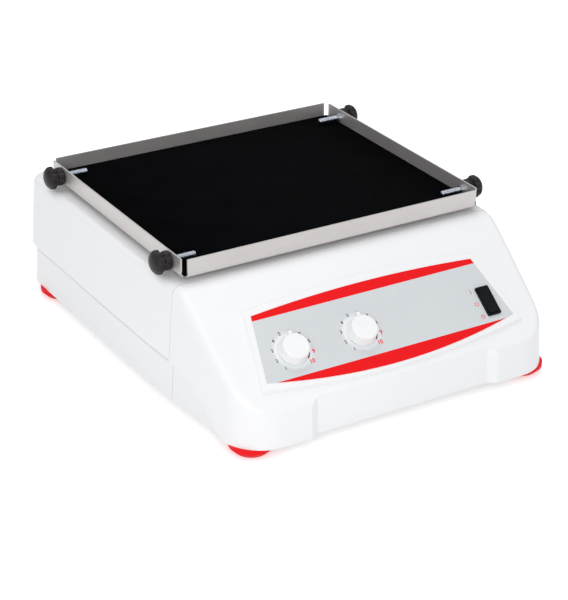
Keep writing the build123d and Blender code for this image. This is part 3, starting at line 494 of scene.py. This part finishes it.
for name, centre in zip(("speed_scale", "time_scale"), dial_centres):
    marks = []
    for number in range(1, 11):
        angle = radians(first_angle + angle_step * (number - 1))
        across = centre.x + number_radius * cos(angle)
        up = dial_up_panel + number_radius * sin(angle)
        red = number > last_dark_number
        drawn = flat_text(str(number), red_number_height if red else number_height)
        marks.append((*drawn, across, up, int(red)))
    # This dark arc is painted shadow at the dial's lower right edge.
    marks.append((*arc_strip(painted_shadow_radius, painted_shadow_width, *painted_shadow_arc, steps=8), centre.x, dial_up_panel, 0))
    printed(name, marks)

signs = [(*bar(0.0, -sign_radius, 0.0, sign_radius, sign_line), sign_across, on_sign_up, 0),
         (*arc_strip(sign_radius, sign_line, *standby_arc), sign_across, standby_sign_up, 1),
         (*bar(0.0, standby_bar[0], 0.0, standby_bar[1], sign_line), sign_across, standby_sign_up, 1),
         (*arc_strip(sign_radius, sign_line, 0.0, 360.0), sign_across, timer_sign_up, 1),
         (*bar(0.0, 0.0, 0.0, timer_minute_hand, timer_hand_line), sign_across, timer_sign_up, 1),
         (*bar(0.0, 0.0, timer_hour_hand, 0.0, timer_hand_line), sign_across, timer_sign_up, 1)]
printed("switch_signs", signs)


# Dials
# Two white moulded dials, shallow cones with a small pointer tab at the top.
# Each is pressed on the flatted end of its potentiometer's shaft.
dial_white = (0.88, 0.88, 0.88)
dial_shade = (0.85, 0.85, 0.86)
dial_abs = finished("dial_abs", dial_white, 0.33, second=dial_shade, grain=2200.0, drift=40.0, relief=0.00001)
for name in ("speed", "time"):
    smoothed(f"{name}_knob", f"{name}_dial", dial_abs, crease=32.0)


# Rocker switch
# A black snap-in rocker in the panel's right end, with a raised bezel. The
# rocker has a dished, satin top.
switch_black = (0.0025, 0.0035, 0.0050)
switch_sheen = (0.0060, 0.0075, 0.0095)
switch_nylon = finished("switch_nylon", switch_black, 0.42, second=switch_sheen, grain=1800.0, drift=90.0,
                        relief=0.00002, gloss=0.12)
smoothed("switch_bezel", "housing", switch_nylon)
smoothed("switch_rocker", "rocker", switch_nylon, crease=35.0)


# Steel tray
# Stainless sheet with a brushed grain along its length, folded up on four
# sides. The grain follows the flat sheet, so it stands upright on the ends.
steel_tint = (0.66, 0.63, 0.61)
steel_shade = (0.54, 0.515, 0.505)
grain_across = 1400.0
grain_along = 22.0
brush_relief = 0.000012
brush_smoother = 0.07
brush_rougher = 0.10
sheet_metallic = 0.72
tray_low, tray_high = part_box("tray")
tray_middle = (tray_low + tray_high) / 2


def brushed_group():
    """Shader group: noise in the flat sheet's coordinates, stretched along its length.

    On a folded sheet, the flat coordinates are the distance out from the middle plus the height.
    """
    group = bpy.data.node_groups.new("brushed_sheet", "ShaderNodeTree")
    socket = group.interface.new_socket
    socket("Place", in_out="INPUT", socket_type="NodeSocketVector")
    for name in ("Across", "Along"):
        socket(name, in_out="INPUT", socket_type="NodeSocketFloat")
    for name in ("Streak", "Cloud"):
        socket(name, in_out="OUTPUT", socket_type="NodeSocketFloat")
    start = group.nodes.new("NodeGroupInput")
    end = group.nodes.new("NodeGroupOutput")
    out = new_node(group, "ShaderNodeVectorMath", operation="ABSOLUTE")
    parts = new_node(group, "ShaderNodeSeparateXYZ")
    link(group, start.outputs["Place"], out.inputs[0])
    link(group, out.outputs["Vector"], parts.inputs[0])
    flat = new_node(group, "ShaderNodeCombineXYZ")
    for axis, scale in (("X", "Along"), ("Y", "Across")):
        unfolded = new_node(group, "ShaderNodeMath", operation="ADD")
        stretched = new_node(group, "ShaderNodeMath", operation="MULTIPLY")
        link(group, parts.outputs[axis], unfolded.inputs[0])
        link(group, parts.outputs["Z"], unfolded.inputs[1])
        link(group, unfolded.outputs[0], stretched.inputs[0])
        link(group, start.outputs[scale], stretched.inputs[1])
        link(group, stretched.outputs[0], flat.inputs[axis])
    streak = new_node(group, "ShaderNodeTexNoise", Scale=1.0, Detail=4.0, Roughness=0.6)
    cloud = new_node(group, "ShaderNodeTexNoise", Scale=26.0, Detail=3.0)
    link(group, flat.outputs[0], streak.inputs["Vector"])
    link(group, start.outputs["Place"], cloud.inputs["Vector"])
    link(group, streak.outputs["Fac"], end.inputs["Streak"])
    link(group, cloud.outputs["Fac"], end.inputs["Cloud"])
    return group


def brushed_metal(name, light, dark, roughness, centre, across, along):
    """Metal with brushed streaks in its colour, roughness and relief, read from the sheet's middle."""
    material = bpy.data.materials.new(name)
    material.use_nodes = True
    tree = material.node_tree
    shader = tree.nodes["Principled BSDF"]
    shader.inputs["Metallic"].default_value = sheet_metallic
    place = new_node(tree, "ShaderNodeTexCoord")
    centred = new_node(tree, "ShaderNodeMapping")
    centred.inputs["Location"].default_value = -Vector(centre)
    brush = new_node(tree, "ShaderNodeGroup", node_tree=brushed_sheet)
    brush.inputs["Across"].default_value = across
    brush.inputs["Along"].default_value = along
    link(tree, place.outputs["Object"], centred.inputs["Vector"])
    link(tree, centred.outputs["Vector"], brush.inputs["Place"])
    tint = new_node(tree, "ShaderNodeMix", data_type="RGBA")
    tint.inputs["A"].default_value = (*dark, 1.0)
    tint.inputs["B"].default_value = (*light, 1.0)
    link(tree, brush.outputs["Streak"], tint.inputs["Factor"])
    link(tree, tint.outputs["Result"], shader.inputs["Base Color"])
    spread = new_node(tree, "ShaderNodeMapRange")
    spread.inputs["To Min"].default_value = roughness - brush_smoother
    spread.inputs["To Max"].default_value = roughness + brush_rougher
    link(tree, brush.outputs["Cloud"], spread.inputs["Value"])
    link(tree, spread.outputs["Result"], shader.inputs["Roughness"])
    bump = new_node(tree, "ShaderNodeBump", Strength=1.0, Distance=brush_relief)
    link(tree, brush.outputs["Streak"], bump.inputs["Height"])
    link(tree, bump.outputs["Normal"], shader.inputs["Normal"])
    return material


brushed_sheet = brushed_group()
tray_steel = brushed_metal("tray_steel", steel_tint, steel_shade, 0.44,
                           (tray_middle.x, tray_middle.y, tray_low.z), grain_across, grain_along)
smoothed("tray", "platform", tray_steel, crease=35.0)
for part in ("wall_nuts", "tray_screws"):
    smoothed(part, "platform", zinc_plate, crease=40.0)


# Ribbed mat
# A black rubber mat that lies in the tray. Low round ribs run across it from
# left to right, so that glassware doesn't slide.
mat_black = (0.0012, 0.0013, 0.0016)
mat_dust = (0.0032, 0.0034, 0.0040)
rib_pitch = 0.0025
rib_height = 0.0005
rib_samples = 8
grid_weld = 1e-7
mat_low, mat_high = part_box("rubber_mat")


def grid_piece(name, x, y, z, closed=False):
    """A mesh from three arrays of the same two-dimensional grid, whose rows may close to rings."""
    rows, columns = x.shape
    points = np.stack([x, y, z], axis=2).reshape(-1, 3)
    v = np.arange(columns if closed else columns - 1)
    u, v = [side.ravel() for side in np.meshgrid(np.arange(rows - 1), v, indexing="ij")]
    here, below, next_v = u * columns, (u + 1) * columns, (v + 1) % columns
    faces = np.stack([here + v, below + v, below + next_v, here + next_v], axis=1)
    mesh = bpy.data.meshes.new(name)
    mesh.vertices.add(len(points))
    mesh.vertices.foreach_set("co", points.ravel())
    mesh.loops.add(faces.size)
    mesh.loops.foreach_set("vertex_index", faces.ravel())
    mesh.polygons.add(len(faces))
    mesh.polygons.foreach_set("loop_start", np.arange(len(faces)) * 4)
    mesh.polygons.foreach_set("use_smooth", np.ones(len(faces), bool))
    mesh.update(calc_edges=True)
    mesh.validate()
    piece = bpy.data.objects.new(name, mesh)
    bpy.context.scene.collection.objects.link(piece)
    return piece


def close_and_face_out(piece):
    """Merge what meets, fill the open ends and turn every face outwards."""
    shape = bmesh.new()
    shape.from_mesh(piece.data)
    bmesh.ops.remove_doubles(shape, verts=shape.verts, dist=grid_weld)
    open_edges = [edge for edge in shape.edges if edge.is_boundary]
    if open_edges:
        bmesh.ops.holes_fill(shape, edges=open_edges, sides=0)
    bmesh.ops.recalc_face_normals(shape, faces=shape.faces)
    shape.to_mesh(piece.data)
    shape.free()


def ribbed_mat():
    """Height over the mat: its top less a rib height times the square of a cosine across the ribs.

    The grid's outer rows and columns drop to the mat's underside, so the sheet is closed all round.
    """
    ribs = int((mat_high.y - mat_low.y) / rib_pitch)
    across = np.linspace(mat_low.y, mat_high.y, ribs * rib_samples + 1)
    phase = np.linspace(0.0, ribs * pi, ribs * rib_samples + 1)
    crest = mat_high.z - rib_height * np.cos(phase) ** 2
    y = np.concatenate([[mat_low.y], across, [mat_high.y]])
    z = np.concatenate([[mat_low.z], crest, [mat_low.z]])
    x = np.array([mat_low.x, mat_low.x, mat_high.x, mat_high.x])
    grid_y, grid_x = np.meshgrid(y, x, indexing="ij")
    grid_z = np.repeat(z[:, None], 4, axis=1)
    grid_z[:, [0, 3]] = mat_low.z
    return grid_piece("ribbed_mat", grid_x, grid_y, grid_z)


mat_rubber = finished("mat_rubber", mat_black, 0.78, second=mat_dust, grain=1400.0, drift=30.0,
                      relief=0.00002, gloss=0.02)
mat = ribbed_mat()
close_and_face_out(mat)
mat.data.materials.append(mat_rubber)
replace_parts(mat, "rubber_mat")
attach(mat, "platform")


# Thumbscrews
# Dark plastic heads moulded on steel studs: a fluted hub against the tray
# wall, a narrow neck and a domed disc with eight finger scallops.
thumb_dark = (0.012, 0.011, 0.011)
thumb_brown = (0.026, 0.021, 0.020)
thumb_nylon = finished("thumb_nylon", thumb_dark, 0.40, second=thumb_brown, grain=1500.0, drift=120.0,
                       relief=0.00004, gloss=0.22)
scallops = 8
thumb_turns = 96
corners = {"front_left": -1, "front_right": 1, "rear_left": -1, "rear_right": 1}
thumb_profile = [(0.0, 0.0, 0.0), (0.0, 0.0080, 0.0), (0.0006, 0.0088, 0.4), (0.0016, 0.0091, 1.0),
                 (0.0050, 0.0091, 1.0), (0.0062, 0.0086, 0.9), (0.0070, 0.0076, 0.5), (0.0078, 0.0070, 0.1),
                 (0.0082, 0.0074, 0.2), (0.0086, 0.0092, 0.8), (0.0092, 0.0108, 1.2), (0.0102, 0.0114, 1.3),
                 (0.0130, 0.0115, 1.1), (0.0144, 0.0111, 0.5), (0.0156, 0.0102, 0.12), (0.0170, 0.0086, 0.0),
                 (0.0180, 0.0066, 0.0), (0.0187, 0.0044, 0.0), (0.0191, 0.0022, 0.0), (0.0192, 0.0, 0.0)]
scallop_depth = 0.0013


def thumb_head(name, side):
    """Radius about the stud's line: the profile's radius less a scallop depth times its weight.

    A profile point is a distance out from the tray wall, a radius and the scallop's weight there.
    The scallop is the square of a raised cosine round the head, so its lobes are broad and its
    valleys narrow.
    """
    low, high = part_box(name + "_thumb_knob")
    centre = (low + high) / 2
    wall_x = low.x if side > 0 else high.x
    out, radius, weight = (np.array(column) for column in zip(*thumb_profile))
    steps = np.linspace(0.0, 1.0, len(out))
    fine = np.linspace(0.0, 1.0, 3 * (len(out) - 1) + 1)
    out, radius, weight = (np.interp(fine, steps, column) for column in (out, radius, weight))
    angle = np.linspace(0.0, tau, thumb_turns, endpoint=False)
    valley = (0.5 + 0.5 * np.cos(scallops * angle)) ** 2
    reach = radius[:, None] - scallop_depth * weight[:, None] * valley[None, :]
    reach = np.maximum(reach, 0.0)
    x = wall_x + side * np.repeat(out[:, None], thumb_turns, axis=1)
    y = centre.y + reach * np.cos(angle)
    z = centre.z + reach * np.sin(angle)
    piece = grid_piece(name + "_thumb_head", x, y, z, closed=True)
    close_and_face_out(piece)
    piece.data.materials.append(thumb_nylon)
    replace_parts(piece, name + "_thumb_knob")
    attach(piece, name + "_knob_body")


for name, side in corners.items():
    thumb_head(name, side)


# Threaded studs
# Zinc-plated M6 studs through the tray walls, with a rolled thread along the
# part that can be seen. A thumbscrew's head holds each outer end.
thread_pitch = 0.0010
thread_depth = 0.00055
thread_steps = 12
stud_turns = 24
lead_in_length = 0.0009
lead_in_depth = 0.0006
stud_zinc = finished("stud_zinc", zinc_tint, 0.27, metallic=1.0, second=zinc_blue, grain=900.0, drift=400.0)


def threaded_stud(name, side):
    """Radius of a screw thread: the outer radius less a depth times a rounded triangle wave.

    The wave's phase is the distance along the stud over the pitch, less the turn about its axis.
    """
    low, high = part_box(name + "_stud")
    centre = (low + high) / 2
    outer = (high.z - low.z) / 2
    turns = int((high.x - low.x) / thread_pitch)
    along = np.linspace(low.x, high.x, turns * thread_steps + 1)
    angle = np.linspace(0.0, tau, stud_turns, endpoint=False)
    phase = (along[:, None] - low.x) / thread_pitch - angle[None, :] / tau
    wave = 0.5 - 0.5 * np.cos(tau * phase)
    end = np.minimum(along - low.x, high.x - along)
    lead_in = np.clip(end / lead_in_length, 0.0, 1.0)[:, None]
    reach = outer - thread_depth * wave * lead_in - lead_in_depth * (1.0 - lead_in)
    x = np.repeat(along[:, None], stud_turns, axis=1)
    y = centre.y + reach * np.cos(angle)
    z = centre.z + reach * np.sin(angle)
    piece = grid_piece(name + "_threaded_stud", x, y, z, closed=True)
    close_and_face_out(piece)
    piece.data.materials.append(stud_zinc)
    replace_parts(piece, name + "_stud")
    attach(piece, name + "_stud_body")


for name, side in corners.items():
    threaded_stud(name, side)


# Mains inlet
# A standard three-pole inlet in black nylon, screwed to the rear wall, with
# three flat plated pins in its open socket.
pin_tint = (0.70, 0.66, 0.52)
pin_shade = (0.60, 0.58, 0.50)
pin_plate = finished("pin_plate", pin_tint, 0.28, metallic=1.0, second=pin_shade, grain=900.0, drift=300.0)
smoothed("power_inlet", "housing", switch_nylon, crease=35.0)
smoothed("inlet_pins", "housing", pin_plate, crease=35.0)


# Orbit drive
# Three cranks in flanged bearing housings carry the platform round. A flat
# belt drives the front one, and its pulley carries the counterweight.
drive_metals = {
    "cast_aluminium": ((0.58, 0.59, 0.60), (0.52, 0.53, 0.54), 0.42),
    "bearing_steel": ((0.62, 0.62, 0.63), (0.56, 0.56, 0.57), 0.18),
    "spindle_steel": ((0.50, 0.50, 0.51), (0.44, 0.44, 0.45), 0.26),
    "plate_steel": ((0.46, 0.48, 0.50), (0.42, 0.43, 0.45), 0.38),
    "pot_metal": ((0.55, 0.55, 0.53), (0.48, 0.48, 0.47), 0.33),
}
drive_dielectrics = {
    "belt_rubber": ((0.018, 0.018, 0.018), (0.026, 0.026, 0.026), 0.60),
    "board_green": ((0.010, 0.090, 0.040), (0.014, 0.11, 0.05), 0.35),
    "component_black": ((0.028, 0.028, 0.030), (0.045, 0.044, 0.042), 0.42),
}
paint_dark, paint_light = (0.030, 0.032, 0.035), (0.045, 0.046, 0.050)
iron_light, iron_dark = (0.16, 0.16, 0.165), (0.12, 0.12, 0.12)
drive_finishes = {
    "zinc_steel": zinc_plate,
    "motor_paint": finished("motor_paint", paint_dark, 0.45, second=paint_light, relief=0.00003),
    "weight_iron": finished("weight_iron", iron_light, 0.62, metallic=0.6, second=iron_dark),
}
for metallic, group in ((1.0, drive_metals), (0.0, drive_dielectrics)):
    for name, (tint, other_tint, roughness) in group.items():
        drive_finishes[name] = finished(name, tint, roughness, metallic=metallic, second=other_tint)

replaced = {node for piece in bpy.context.scene.objects for node in piece.get("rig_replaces", [])}
slots = {entry["node"]: entry["material_slot"] for entry in frame["record"]["subparts"]}
for node, piece in nodes.items():
    if node in replaced:
        continue
    finish = drive_finishes[slots[node]]
    if piece.material_slots:
        piece.material_slots[0].material = finish
    else:
        piece.data.materials.append(finish)
